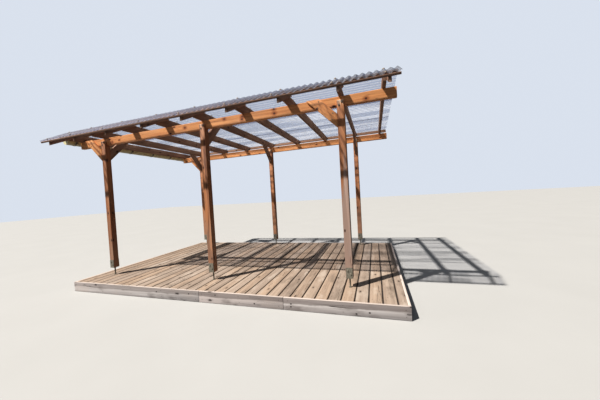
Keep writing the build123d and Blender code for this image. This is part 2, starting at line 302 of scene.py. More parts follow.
@dataclass(frozen=True)
class Softwood:
    """Glazed or stained softwood with growth rings, knots, fibres, checks and weathering.

    The grey climbs from the foot to foot_height. Above the height given for the pale top, if there is one, the
    wood is paler: part bleaching, part a painted sunlit highlight on the post tops.
    places in knots_at are X and Z of single knots.
    """

    early: Colour
    late: Colour
    knot: Colour
    stain: Colour
    grey: Colour
    greying: float = 0.15
    grey_foot: float = 0.0
    foot_height: float = 0.9
    foot_fade: float = 0.25
    # Pale colour of the top: bleached wood with a painted sunlit highlight.
    wear_and_highlight: Colour = from_srgb(240, 212, 180)
    bleach_and_highlight_from: float | None = None
    bleach_and_highlight_fade: float = 0.08
    fibres: Point = (2.5, 110.0, 110.0)
    streaks: Point = (0.6, 28.0, 28.0)
    clouds: Point = (0.8, 5.0, 5.0)
    patches: Point = (1.6, 9.0, 9.0)
    ring_scale: float = 38.0
    knot_share: float = 0.5
    knot_cells: tuple[float, float] = (3.6, 7.0)
    knot_halo: tuple[float, float] = (0.060, 0.018)
    knot_core: tuple[float, float] = (0.019, 0.011)
    check_cells: float = 24.0
    check_depth: float = 0.5
    contrast: float = 0.6
    roughness: float = 0.62
    relief: float = 1.2 * MM
    knots_at: tuple[tuple[float, float], ...] = ()

    def build(self, name: str, grain: Grain, seed: int) -> bpy.types.Material:
        """Make the material for one timber.

        Args:
            name: The material's name.
            grain: The direction of the timber's grain.
            seed: Number that picks the stretch of wood, so that no two timbers match.

        Returns:
            The finished material.
        """
        g = Graph(bpy.data.materials.new(name))
        draw = random.Random(seed)
        shift = tuple(draw.uniform(-40.0, 40.0) for _ in range(3))
        pith = (draw.uniform(2.0, 9.0), draw.choice((-1, 1)) * draw.uniform(0.03, 0.09),
                draw.uniform(-0.06, 0.06))
        along = g.place(grain.value, shift)
        knots, flow = g.knots(along, self.knot_share, self.knot_cells)
        rings = self.rings(g, g.place(grain.value, pith), along, knots)
        fibre = g.noise(along, self.fibres, 4.0, 0.65)
        streak = g.noise(along, self.streaks, 2.0)
        broad = g.noise(along, self.clouds)
        tone = g.times(rings, g.remap(broad, 0.3, 0.7, self.contrast * 0.6, self.contrast))
        tone = g.plus(tone, g.remap(fibre, 0.35, 0.7, -0.12, 0.2))
        tone = g.plus(tone, g.remap(streak, 0.35, 0.65, -0.15, 0.2), clamp=True)
        colour = g.mix(tone, self.early, self.late)
        colour = g.mix(g.remap(broad, 0.45, 0.8, 0.0, 0.55), colour, self.stain)
        colour = g.mix(g.times(flow, 0.7), colour, self.late)
        colour = g.mix(self.greyed(g, along, fibre, streak), colour, self.grey)
        colour = g.mix(knots, colour, self.knot)
        for x, z in self.knots_at:
            away = g.spot(x, z)
            colour = g.mix(g.remap(away, *self.knot_halo, 0.0, 0.75), colour, self.late)
            colour = g.mix(g.remap(away, *self.knot_core, 0.0, 0.9), colour, self.knot)
        # Paler top: bleaching, with a painted sunlit highlight.
        if self.bleach_and_highlight_from is not None:
            colour = g.mix(self.bleach_and_highlight_share(g, fibre), colour, self.wear_and_highlight)
        checks = g.checks(along, self.check_cells)
        colour = g.mix(g.times(checks, self.check_depth), colour, CRACK)
        relief = g.minus(g.times(fibre, 0.5), g.times(rings, 0.25))
        relief = g.minus(relief, g.times(checks, 1.6 * self.check_depth))
        rough = g.remap(fibre, 0.2, 0.8, self.roughness - 0.08, self.roughness + 0.12)
        return g.surface({"Base Color": colour, "Roughness": rough, "Specular IOR Level": 0.35,
                          "Normal": g.bump(relief, self.relief, 0.6)})

    def rings(self, g: Graph, local: Socket, along: Socket, knots: Socket) -> Socket:
        """Growth rings round the pith, which sway and bend round the knots.

        Args:
            g: The material's graph.
            local: Coordinates from the pith, with the grain along X.
            along: Coordinates with the grain along X.
            knots: Mask of the knots.

        Returns:
            The rings, 1 in the late wood.
        """
        sway = g.noise(along, (0.9, 4.0, 4.0), 2.0)
        side = g.plus(g.times(knots, 0.012), g.times(sway, 0.02))
        bent = g.sum(g.stretch(local, (0.06, 1.0, 1.0)), g.add("CombineXYZ", {1: side, 2: side}).outputs[0])
        wave = g.add("TexWave", {"Vector": bent, "Scale": self.ring_scale, "Distortion": 2.2, "Detail": 2.0,
                                 "Detail Scale": 0.6}, wave_type="RINGS", rings_direction="X").outputs[1]
        return g.remap(wave, 0.25, 0.95)

    def bleach_and_highlight_share(self, g: Graph, fibre: Socket) -> Socket:
        """Share of pale top, from 0 to 1, above a height that is ragged by the fibre: bleaching, with a painted
        sunlit highlight.
        """
        ragged = g.ragged(g.axis(2), fibre, 0.05)
        return g.remap(ragged, self.bleach_and_highlight_from, self.bleach_and_highlight_from + self.bleach_and_highlight_fade, 0.0, 0.92)

    def greyed(self, g: Graph, along: Socket, fibre: Socket, streak: Socket) -> Socket:
        """Share of grey: patches everywhere, and ragged streaks up from the foot of a post.

        Args:
            g: The material's graph.
            along: Coordinates with the grain along X.
            fibre: Fine noise along the grain.
            streak: Coarse noise along the grain.

        Returns:
            The share, from 0 to 1.
        """
        patches = g.remap(g.noise(along, self.patches, 4.0), 0.5, 0.75, 0.0, self.greying)
        height = g.ragged(g.ragged(g.axis(2), streak, 0.25), fibre, 0.10)
        top, bottom = self.foot_height + self.foot_fade, self.foot_height - self.foot_fade
        foot = g.remap(height, top, bottom, 0.0, self.grey_foot)
        return g.plus(patches, foot, clamp=True)


@dataclass(frozen=True)
class Boards:
    """Weathered deck or edge boards, each with a tone of its own from the mesh.

    The band darkens an upright board's upper half, and the board's top face is paler. Where gap_pitch is
    given, the gaps between boards repeat from gap_at, and dirt and painted shade lie along them. The places
    in knots_at are X and Z of single knots.
    """

    light: Colour
    dark: Colour
    tint: Colour
    stain: Colour
    knot: Colour
    grain: Grain
    pale: Colour = from_srgb(206, 192, 178)
    spread: float = 0.35
    fibres: Point = (2.0, 90.0, 90.0)
    streaks: Point = (0.7, 22.0, 22.0)
    patches: Point = (1.8, 5.0, 5.0)
    knot_share: float = 0.35
    knot_cells: tuple[float, float] = (2.6, 6.0)
    knot_core: tuple[float, float] = (0.014, 0.007)
    check_cells: float = 30.0
    band: float = 0.0
    band_start: tuple[float, float] = (0.076, 0.090)
    paler_top_face: tuple[float, float] = (0.1455, 0.1490)
    # Where the dirt and painted shade along the gaps begin.
    dirt_and_shade_start: tuple[float, float] = (0.400, 0.455)
    roughness: float = 0.75
    relief: float = 1.5 * MM
    gap_at: float = 0.0
    gap_pitch: float = 0.0
    knots_at: tuple[tuple[float, float], ...] = ()

    def build(self, name: str) -> bpy.types.Material:
        """Make the material, which reads the boards' tone attribute.

        Args:
            name: The material's name.

        Returns:
            The finished material.
        """
        g = Graph(bpy.data.materials.new(name))
        tone = g.add("Attribute", {}, attribute_name="tone").outputs["Fac"]
        shift = g.add("CombineXYZ", {0: g.times(tone, 37.0), 1: g.times(tone, 91.0)})
        along = g.sum(g.place(self.grain.value), shift.outputs[0])
        fibre = g.noise(along, self.fibres, 5.0, 0.7)
        streak = g.noise(along, self.streaks, 3.0, 0.6)
        patch = g.noise(along, self.patches, 4.0, 0.6)
        own = g.plus(g.times(tone, self.spread), g.remap(streak, 0.3, 0.7, -0.25, 0.4), clamp=True)
        hue = g.math("FRACT", g.times(tone, 7.3))
        colour = g.mix(g.remap(hue, 0.3, 0.8, 0.0, 0.6), self.light, self.tint)
        colour = g.mix(own, colour, self.dark)
        colour = g.mix(g.remap(fibre, 0.45, 0.75, 0.0, 0.45), colour, self.dark)
        colour = g.mix(g.remap(patch, 0.52, 0.70, 0.0, 0.65), colour, self.stain)
        colour = g.mix(g.remap(patch, 0.46, 0.30, 0.0, 0.6), colour, self.pale)
        if self.band > 0:
            # Darker upper half of an upright board.
            colour = g.mix(self.upper_half_darkening(g, tone, patch), colour, self.stain)
            # Paler top face of an upright board.
            colour = g.mix(g.remap(g.axis(2), *self.paler_top_face, 0.0, 0.9), colour, self.pale)
        if self.gap_pitch > 0:
            # Dirt and painted shade along the gaps between deck boards.
            colour = g.mix(self.dirt_and_shade_edges(g, fibre), colour, self.knot)
        knots, flow = g.knots(along, self.knot_share, self.knot_cells)
        colour = g.mix(g.times(flow, 0.35), colour, self.stain)
        colour = g.mix(g.times(knots, 0.8), colour, self.knot)
        for x, z in self.knots_at:
            colour = g.mix(g.remap(g.spot(x, z), *self.knot_core, 0.0, 0.95), colour, self.knot)
        checks = g.checks(along, self.check_cells)
        colour = g.mix(g.times(checks, 0.8), colour, DRY_CRACK)
        relief = g.minus(g.times(fibre, 0.6), checks)
        rough = g.remap(fibre, 0.2, 0.8, self.roughness - 0.1, self.roughness + 0.1)
        return g.surface({"Base Color": colour, "Specular IOR Level": 0.3, "Roughness": rough,
                          "Normal": g.bump(relief, self.relief, 0.6)})

    def upper_half_darkening(self, g: Graph, tone: Socket, patch: Socket) -> Socket:
        """Share of darkening, from 0 to 1, in an upright board's upper half, more on some boards."""
        strength = g.remap(tone, 0.2, 0.9, self.band * 0.25, self.band)
        return g.times(g.remap(g.ragged(g.axis(2), patch, 0.010), *self.band_start), strength)

    def dirt_and_shade_edges(self, g: Graph, fibre: Socket) -> Socket:
        """Share of dirt and painted shade along both edges of every board of a deck, next to the gaps.

        Args:
            g: The material's graph.
            fibre: Fine noise along the grain.

        Returns:
            The share, from 0 to 1.
        """
        turns = g.math("DIVIDE", g.minus(g.axis(0), self.gap_at), self.gap_pitch)
        off = g.math("ABSOLUTE", g.minus(g.math("FRACT", turns), 0.5))
        return g.remap(g.ragged(off, fibre, 0.015), *self.dirt_and_shade_start, 0.0, 0.75)


@dataclass(frozen=True)
class Zinc:
    """Dull hot-dip zinc with its mottled crystals and a little rust."""

    light: Colour = from_srgb(134, 130, 119)
    dark: Colour = from_srgb(80, 80, 72)
    rust: Colour = from_srgb(96, 70, 50)
    rusting: float = 0.25

    def build(self, name: str) -> bpy.types.Material:
        """Make the material.

        Args:
            name: The material's name.

        Returns:
            The finished material.
        """
        g = Graph(bpy.data.materials.new(name))
        base = g.place()
        crystals = g.add("TexVoronoi", {"Vector": base, "Scale": 120.0}, feature="F1")
        shade = g.add("SeparateColor", {0: crystals.outputs["Color"]}).outputs[0]
        cloud = g.noise(base, 35.0, 4.0)
        mottle = g.times(shade, g.remap(cloud, 0.3, 0.7, 0.3, 1.0))
        spots = g.noise(base, 55.0, 5.0, 0.7)
        colour = g.mix(mottle, self.light, self.dark)
        colour = g.mix(g.remap(spots, 0.56, 0.75, 0.0, self.rusting), colour, self.rust)
        rough = g.remap(cloud, 0.2, 0.8, 0.5, 0.7)
        return g.surface({"Base Color": colour, "Metallic": 0.4, "Roughness": rough,
                          "Normal": g.bump(cloud, 0.4 * MM, 0.3)})


@dataclass(frozen=True)
class ClearSheet:
    """Weathered clear plastic: mostly see-through, partly lit through, with gloss, haze and dirt in stripes.

    The waves follow one another along the axis given by across, every pitch from first_crest.
    """

    across: Point
    first_crest: float
    pitch: float
    tint: Colour = from_srgb(236, 240, 246)
    dirt: Colour = from_srgb(150, 140, 120)
    clear: Colour = from_srgb(254, 254, 255)
    streak: Colour = from_srgb(216, 220, 229)
    see_through: float = 0.955
    flank_share: float = 0.94
    lit_through: float = 0.8
    shine: float = 0.4

    def build(self, name: str) -> bpy.types.Material:
        """Make the material.

        Args:
            name: The material's name.

        Returns:
            The finished material.
        """
        g = Graph(bpy.data.materials.new(name))
        base = g.place()
        split = g.add("SeparateXYZ", {0: g.stretch(base, self.across)})
        run = g.plus(split.outputs[0], split.outputs[1])
        from_edge = g.minus(run, self.first_crest)
        turn = g.times(from_edge, 2 * math.pi / self.pitch)
        side = g.math("SINE", turn)
        flank = g.math("ABSOLUTE", side)
        valley = g.remap(g.math("COSINE", turn), -0.6, -1.0)
        film = g.noise(base, (1.5, 6.0, 6.0), 5.0, 0.65)
        specks = g.noise(base, 60.0, 3.0)
        dirty = g.times(g.remap(film, 0.4, 0.75, 0.0, 0.25), g.remap(specks, 0.3, 0.8, 0.4, 1.0))
        dirty = g.plus(dirty, g.times(valley, g.remap(film, 0.3, 0.7, 0.0, 0.15)), clamp=True)
        haze = g.noise(base, (0.4, 4.6, 1.0), 3.0, 0.6)
        haze = g.times(haze, g.remap(g.math("ABSOLUTE", from_edge), 0.18, 0.45))
        colour = g.mix(dirty, self.tint, self.dirt)
        gloss = g.add("BsdfPrincipled", {"Base Color": colour, "Roughness": g.remap(film, 0.3, 0.8, 0.12, 0.35),
                                         "Specular IOR Level": 0.5})
        glow = g.add("BsdfTranslucent", {"Color": colour})
        body = g.add("MixShader", {0: self.lit_through, 1: gloss.outputs[0], 2: glow.outputs[0]})
        clear = g.add("BsdfTransparent", {"Color": g.mix(g.remap(side, 0.3, 1.0), self.clear, self.streak)})
        share = g.times(g.remap(dirty, 0.0, 0.5, self.see_through, self.see_through * 0.75),
                       g.remap(flank, 0.2, 1.0, 1.0, self.flank_share))
        share = g.times(share, g.remap(haze, 0.48, 0.64, 1.0, 0.80))
        lines = g.times(valley, g.remap(haze, 0.46, 0.58, 0.0, 0.7))
        share = g.times(share, g.minus(1.0, lines))
        plastic = g.add("MixShader", {0: share, 1: body.outputs[0], 2: clear.outputs[0]})
        shine = g.add("BsdfGlossy", {"Color": (1.0, 1.0, 1.0, 1.0), "Roughness": 0.18})
        grazing = g.remap(g.add("LayerWeight", {"Blend": 0.5}).outputs["Facing"], 0.5, 1.0, 0.0, self.shine)
        return g.finish(g.add("MixShader", {0: grazing, 1: plastic.outputs[0], 2: shine.outputs[0]}))


@dataclass(frozen=True)
class Coat:
    """Plain painted, coated or moulded surface with light wear in its colour and gloss."""

    colour: Colour
    wear_and_highlight: Colour
    roughness: float = 0.5
    metallic: float = 0.0
    scale: float = 18.0

    def build(self, name: str) -> bpy.types.Material:
        """Make the material.

        Args:
            name: The material's name.

        Returns:
            The finished material.
        """
        g = Graph(bpy.data.materials.new(name))
        cloud = g.noise(g.place(), self.scale, 5.0, 0.65)
        colour = g.mix(g.remap(cloud, 0.4, 0.75), self.colour, self.wear_and_highlight)
        rough = g.remap(cloud, 0.25, 0.75, self.roughness - 0.1, self.roughness + 0.12)
        return g.surface({"Base Color": colour, "Metallic": self.metallic, "Roughness": rough,
                          "Normal": g.bump(cloud, 0.3 * MM, 0.25)})


# Posts: above 2.43 m the wood is paler, part bleaching and part a painted sunlit highlight.
GLAZED = Softwood(early=from_srgb(176, 120, 80), late=from_srgb(92, 52, 30), knot=from_srgb(50, 27, 16),
                  stain=from_srgb(124, 72, 40), grey=from_srgb(146, 122, 106), greying=0.35, grey_foot=0.45,
                  bleach_and_highlight_from=2.43, contrast=0.95, ring_scale=44.0)
GREYED = Softwood(early=from_srgb(186, 130, 88), late=from_srgb(108, 64, 38), knot=from_srgb(56, 30, 18),
                  stain=from_srgb(140, 86, 56), grey=from_srgb(148, 128, 118), greying=0.5, grey_foot=0.9,
                  foot_height=1.55, bleach_and_highlight_from=2.43, contrast=0.8)
BEAM = Softwood(early=from_srgb(236, 172, 114), late=from_srgb(144, 78, 40), knot=from_srgb(48, 26, 15),
                stain=from_srgb(142, 82, 46), grey=from_srgb(180, 152, 130), greying=0.25, contrast=0.9)
BEAM_KNOTS = ((2.365, 2.461), (1.180, 2.462), (1.176, 2.521), (0.697, 2.492), (0.692, 2.455), (0.406, 2.500),
              (-0.286, 2.468), (-1.802, 2.430))
BEAM_FRONT = replace(BEAM, knots_at=BEAM_KNOTS)
SAWN = Softwood(early=from_srgb(160, 128, 108), late=from_srgb(108, 82, 68), knot=from_srgb(40, 26, 18),
                stain=from_srgb(106, 76, 58), grey=from_srgb(128, 112, 100), greying=0.3, roughness=0.78)
WOODS = {"beam_front": BEAM_FRONT, "beam_": BEAM, "row_brace": BEAM, "post_front_right": GREYED,
         "post_": GLAZED}
DECK = Boards(light=from_srgb(152, 138, 126), dark=from_srgb(116, 100, 88), tint=from_srgb(160, 137, 116),
              stain=from_srgb(104, 92, 82), knot=from_srgb(50, 40, 34), pale=from_srgb(172, 160, 148),
              grain=Grain.DEPTH)
FRONT_KNOTS = ((-0.609, 0.096), (-0.052, 0.100), (0.367, 0.112), (0.929, 0.044), (1.408, 0.078), (1.406, 0.044),
               (2.157, 0.026), (2.297, 0.050))
FASCIA = Boards(light=from_srgb(202, 196, 193), dark=from_srgb(150, 142, 139), tint=from_srgb(198, 184, 178),
                stain=from_srgb(108, 99, 96), knot=from_srgb(36, 30, 28), pale=from_srgb(184, 172, 164),
                grain=Grain.LENGTH, band=0.75, knots_at=FRONT_KNOTS)
FASCIA_ENDS = replace(FASCIA, grain=Grain.DEPTH, band=0.5, knots_at=())
GUTTER = Coat(colour=from_srgb(218, 210, 168), wear_and_highlight=from_srgb(166, 156, 118), roughness=0.45)
CAP = Coat(colour=from_srgb(150, 138, 126), wear_and_highlight=from_srgb(104, 94, 84), roughness=0.4)
SCREW = Coat(colour=from_srgb(110, 104, 98), wear_and_highlight=from_srgb(66, 58, 52), metallic=0.5)


class Bench:
    """Modelling moves on Blender's own operators."""

    @staticmethod
    def clear() -> None:
        """Leave no object selected or active."""
        bpy.ops.object.select_all(action="DESELECT")
        bpy.context.view_layer.objects.active = None

    @staticmethod
    def activate(piece: Piece) -> None:
        """Select one piece alone and make it the active one.

        Args:
            piece: The piece.
        """
        Bench.clear()
        piece.select_set(True)
        bpy.context.view_layer.objects.active = piece

    @staticmethod
    def settle() -> None:
        """Move the active piece's place, turn and scale into its mesh."""
        bpy.ops.object.transform_apply(location=True, rotation=True, scale=True)

    @staticmethod
    def edit(piece: Piece) -> None:
        """Open one piece in edit mode with all of it selected.

        Args:
            piece: The piece.
        """
        Bench.activate(piece)
        bpy.ops.object.mode_set(mode="EDIT")
        bpy.ops.mesh.select_all(action="SELECT")

    @staticmethod
    def close() -> None:
        """Leave edit mode."""
        bpy.ops.object.mode_set(mode="OBJECT")

    @staticmethod
    def pick(piece: Piece, kind: str, keep: Callable[[Part], bool]) -> None:
        """Select, in edit mode, the vertices or the faces that pass a test.

        Args:
            piece: The piece, open in edit mode.
            kind: VERT or FACE.
            keep: The test of one vertex or face.
        """
        bpy.ops.mesh.select_mode(type=kind)
        bpy.ops.mesh.select_all(action="DESELECT")
        bpy.ops.object.mode_set(mode="OBJECT")
        for part in piece.data.vertices if kind == "VERT" else piece.data.polygons:
            part.select = bool(keep(part))
        bpy.ops.object.mode_set(mode="EDIT")
        bpy.ops.mesh.select_mode(type=kind)

    @staticmethod
    def open_top(piece: Piece) -> None:
        """Open a piece in edit mode with its top face selected."""
        Bench.edit(piece)
        Bench.pick(piece, "FACE", lambda face: face.normal.z > 0.9)

    @staticmethod
    def extrude(height: float, taper: float = 1.0) -> None:
        """Extrude the selected face upwards and scale its new end."""
        bpy.ops.mesh.extrude_region_move(TRANSFORM_OT_translate={"value": (0.0, 0.0, height)})
        bpy.ops.transform.resize(value=(taper, taper, 1.0))

    @staticmethod
    def block(name: str, low: Vector, high: Vector, bevel: float) -> Piece:
        """Squared piece between two corners, with eased edges.

        Args:
            name: The piece's name.
            low: Lowest corner, in metres.
            high: Highest corner, in metres.
            bevel: Width of the eased edges.

        Returns:
            The new object, with its place in its mesh.
        """
        Bench.clear()
        low, high = Vector(low), Vector(high)
        bpy.ops.mesh.primitive_cube_add(size=1.0, location=(low + high) / 2, scale=high - low)
        piece = bpy.context.active_object
        piece.name = name
        Bench.settle()
        Bench.edit(piece)
        bpy.ops.mesh.bevel(offset=bevel, offset_type="OFFSET", segments=2, affect="EDGES")
        Bench.close()
        return piece

    @staticmethod
    def cylinder(sides: int, radius: float, length: float, middle: Point, turn: float = 0.0) -> Piece:
        """Cylinder with its place in its mesh.

        Args:
            sides: Number of sides.
            radius: Its radius, in metres.
            length: Its length, in metres.
            middle: Its middle.
            turn: Turn from upright about the X axis, in degrees.

        Returns:
            The new object.
        """
        Bench.clear()
        bpy.ops.mesh.primitive_cylinder_add(vertices=sides, radius=radius, depth=length, location=middle,
                                            rotation=(math.radians(turn), 0.0, 0.0))
        Bench.settle()
        return bpy.context.active_object

    @staticmethod
    def copies(name: str, master: Piece, places: list[Matrix]) -> Piece:
        """Join copies of a master piece at many places, and delete the master.

        Args:
            name: The joined piece's name.
            master: The piece to copy, modelled at the origin.
            places: One matrix for each copy.

        Returns:
            The joined object.
        """
        made = []
        for place in places:
            twin = master.copy()
            twin.data = master.data.copy()
            twin.data.transform(place)
            bpy.context.scene.collection.objects.link(twin)
            made.append(twin)
        bpy.data.objects.remove(master)
        return Bench.join(name, made)

    @staticmethod
    def join(name: str, pieces: list[Piece]) -> Piece:
        """Join pieces into one object.

        Args:
            name: The joined piece's name.
            pieces: The pieces.

        Returns:
            The joined object.
        """
        Bench.activate(pieces[0])
        for piece in pieces[1:]:
            piece.select_set(True)
        if len(pieces) > 1:
            bpy.ops.object.join()
        pieces[0].name = name
        return pieces[0]

    @staticmethod
    def modifier(piece: Piece, kind: str, **settings: object) -> None:
        """Add a modifier and apply it.

        Args:
            piece: The piece.
            kind: The modifier's type.
            **settings: Its settings.
        """
        Bench.activate(piece)
        added = piece.modifiers.new(kind.title(), kind)
        for key, value in settings.items():
            setattr(added, key, value)
        bpy.ops.object.modifier_apply(modifier=added.name)

    @staticmethod
    def smooth(piece: Piece, degrees: float) -> None:
        """Shade smooth where faces meet at less than an angle."""
        Bench.activate(piece)
        bpy.ops.object.shade_smooth_by_angle(angle=math.radians(degrees))

    @staticmethod
    def put(piece: Piece, matrix: Matrix) -> None:
        """Move a piece to its place and leave its object at the origin.

        Args:
            piece: The piece.
            matrix: Its place.
        """
        Bench.activate(piece)
        piece.matrix_world = matrix
        Bench.settle()

    @staticmethod
    def twin(source: Piece, name: str) -> Piece:
        """Copy a construction node's shape as a loose piece.

        Args:
            source: The node.
            name: The new piece's name.

        Returns:
            The new object.
        """
        piece = bpy.data.objects.new(name, source.data.copy())
        bpy.context.scene.collection.objects.link(piece)
        Bench.put(piece, source.matrix_world)
        return piece

    @staticmethod
    def tone(piece: Piece, value: float) -> None:
        """Store one tone from 0 to 1 on the whole of a piece."""
        attribute = piece.data.attributes.new("tone", "FLOAT", "POINT")
        attribute.data.foreach_set("value", [value] * len(piece.data.vertices))

    @staticmethod
    def paint(piece: Piece, material: bpy.types.Material) -> None:
        """Give a piece one material."""
        piece.data.materials.clear()
        piece.data.materials.append(material)

    @staticmethod
    def dress(piece: Piece, material: bpy.types.Material, slot: str, *nodes: str) -> None:
        """Give a new piece its material and body, and hide the nodes that it stands for.

        Args:
            piece: The finished object.
            material: Its material.
            slot: The record's material slot; not used.
            *nodes: CAD nodes that the piece replaces.
        """
        Bench.paint(piece, material)
        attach(piece, BODY)
        if nodes:
            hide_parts(*nodes)
        LOG.info("made %s: %d faces", piece.name, len(piece.data.polygons))


@dataclass
class Roof:
    """The roof's own frame, in metres: level and square, and tilted as a whole by its fall to the left."""

    seat: Point = (2.06119, -1.12365, 2.420)
    fall: float = math.radians(0.4)
    right: float = 0.660
    left: float = -4.740
    purlins: tuple[float, ...] = (-4.60, -4.04, -3.366667, -2.693333, -2.02, -1.346667, -0.673333, 0.0, 0.512)
    purlin_half: float = 0.020
    purlin_top: float = 0.240
    purlin_front: float = -0.200
    purlin_back: float = 2.750
    lath_corner: tuple[float, float] = (-0.535204, 0.058072)
    pitch: float = 0.076
    depth: float = 0.018
    thick: float = 1.5 * MM
    edge_rise: float = 0.0204
    apron_lap: float = 0.008
    apron_waves: int = 72

    @property
    def matrix(self) -> Matrix:
        """Roof frame to scene."""
        return Matrix.Translation(self.seat) @ Matrix.Rotation(-self.fall, 4, "Y")

    @property
    def apron_pitch(self) -> float:
        """Slope of the apron over the lath's corner and the purlins' corners."""
        return math.atan2(self.purlin_top - self.lath_corner[1], self.purlin_front - self.lath_corner[0])

    @property
    def apron(self) -> Matrix:
        """Apron frame to scene: X along the eave, Y up the slope, from the lath's corner."""
        slope = Matrix.Translation((0.0, *self.lath_corner)) @ Matrix.Rotation(self.apron_pitch, 4, "X")
        return self.matrix @ slope

    @property
    def sheet_front(self) -> float:
        """Front edge of the main sheets, where they meet the apron."""
        return self.purlin_front + self.edge_rise / math.tan(self.apron_pitch)

    @property
    def apron_top(self) -> float:
        """Upper edge of the apron, up the slope from the lath's corner."""
        return (self.sheet_front + self.apron_lap - self.lath_corner[0]) / math.cos(self.apron_pitch)


@dataclass
class Timbers:
    """Posts, beams, purlins, braces, tails and laths with eased edges and wood of their own."""

    ease: float = 2.0 * MM
    weld: float = 0.02 * MM
    flat: float = math.radians(0.2)
    sharp: float = math.radians(50.0)
    shading: float = 32.0
    first_seed: int = 11
    lath_width: float = 0.043
    lath_height: float = 0.039
    lath_seat: tuple[float, float] = (-0.2643, 0.1598)
    tail_pitch: float = math.radians(25.5)

    @staticmethod
    def first_match(table: dict[str, object], node: str, other: object) -> object:
        """Value of the first entry whose key begins a node's name, or another value."""
        return next((value for start, value in table.items() if node.startswith(start)), other)

    @staticmethod
    def is_timber(node: str) -> bool:
        """True for the nodes that are posts, beams, purlins, braces, tails or laths."""
        wooden = ("beam_", "row_brace", "purlin_", "front_lath", "back_lath")
        return node.startswith(wooden) or (node.startswith("post_") and "shoe" not in node)

    def ease_edges(self, piece: Piece) -> None:
        """Merge a copied node's triangles into flat faces and ease its sharp edges.

        Args:
            piece: The copy.
        """
        Bench.edit(piece)
        bpy.ops.mesh.remove_doubles(threshold=self.weld)
        bpy.ops.mesh.dissolve_limited(angle_limit=self.flat)
        bpy.ops.mesh.select_all(action="DESELECT")
        bpy.ops.mesh.select_mode(type="EDGE")
        bpy.ops.mesh.edges_select_sharp(sharpness=self.sharp)
        bpy.ops.mesh.bevel(offset=self.ease, offset_type="OFFSET", segments=2, affect="EDGES",
                           clamp_overlap=True)
        Bench.close()
        Bench.smooth(piece, self.shading)

    def upper_lath(self, roof: Roof, seed: int) -> None:
        """Batten that lies on the tails just below the purlins' front ends and carries the apron's upper edge.

        Args:
            roof: The roof's frame.
            seed: Number that picks its stretch of wood.
        """
        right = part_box("front_lath")[1].x - roof.seat[0]
        far = (right, self.lath_width, self.lath_height)
        lath = Bench.block("upper_lath", (roof.left, 0.0, 0.0), far, self.ease)
        on_tails = Matrix.Translation((0.0, *self.lath_seat)) @ Matrix.Rotation(self.tail_pitch, 4, "X")
        Bench.put(lath, roof.matrix @ on_tails)
        Bench.smooth(lath, self.shading)
        Bench.dress(lath, SAWN.build("wood_upper_lath", Grain.LENGTH, seed), "dark_wood")

    def build(self, frame: dict, roof: Roof) -> None:
        """Make a finished piece of every timber node, and the upper lath.

        Args:
            roof: The roof's frame.
        """
        wooden = [n for n in sorted(frame["nodes"]) if self.is_timber(n)]
        for seed, node in enumerate(wooden, start=self.first_seed):
            piece = Bench.twin(frame["nodes"][node], node + "_timber")
            self.ease_edges(piece)
            finish = self.first_match(WOODS, node, SAWN)
            material = finish.build("wood_" + node, self.first_match(GRAINS, node, Grain.LENGTH), seed)
            Bench.dress(piece, material, "dark_wood" if finish is SAWN else "glazed_wood", node)
        self.upper_lath(roof, self.first_seed + len(wooden))


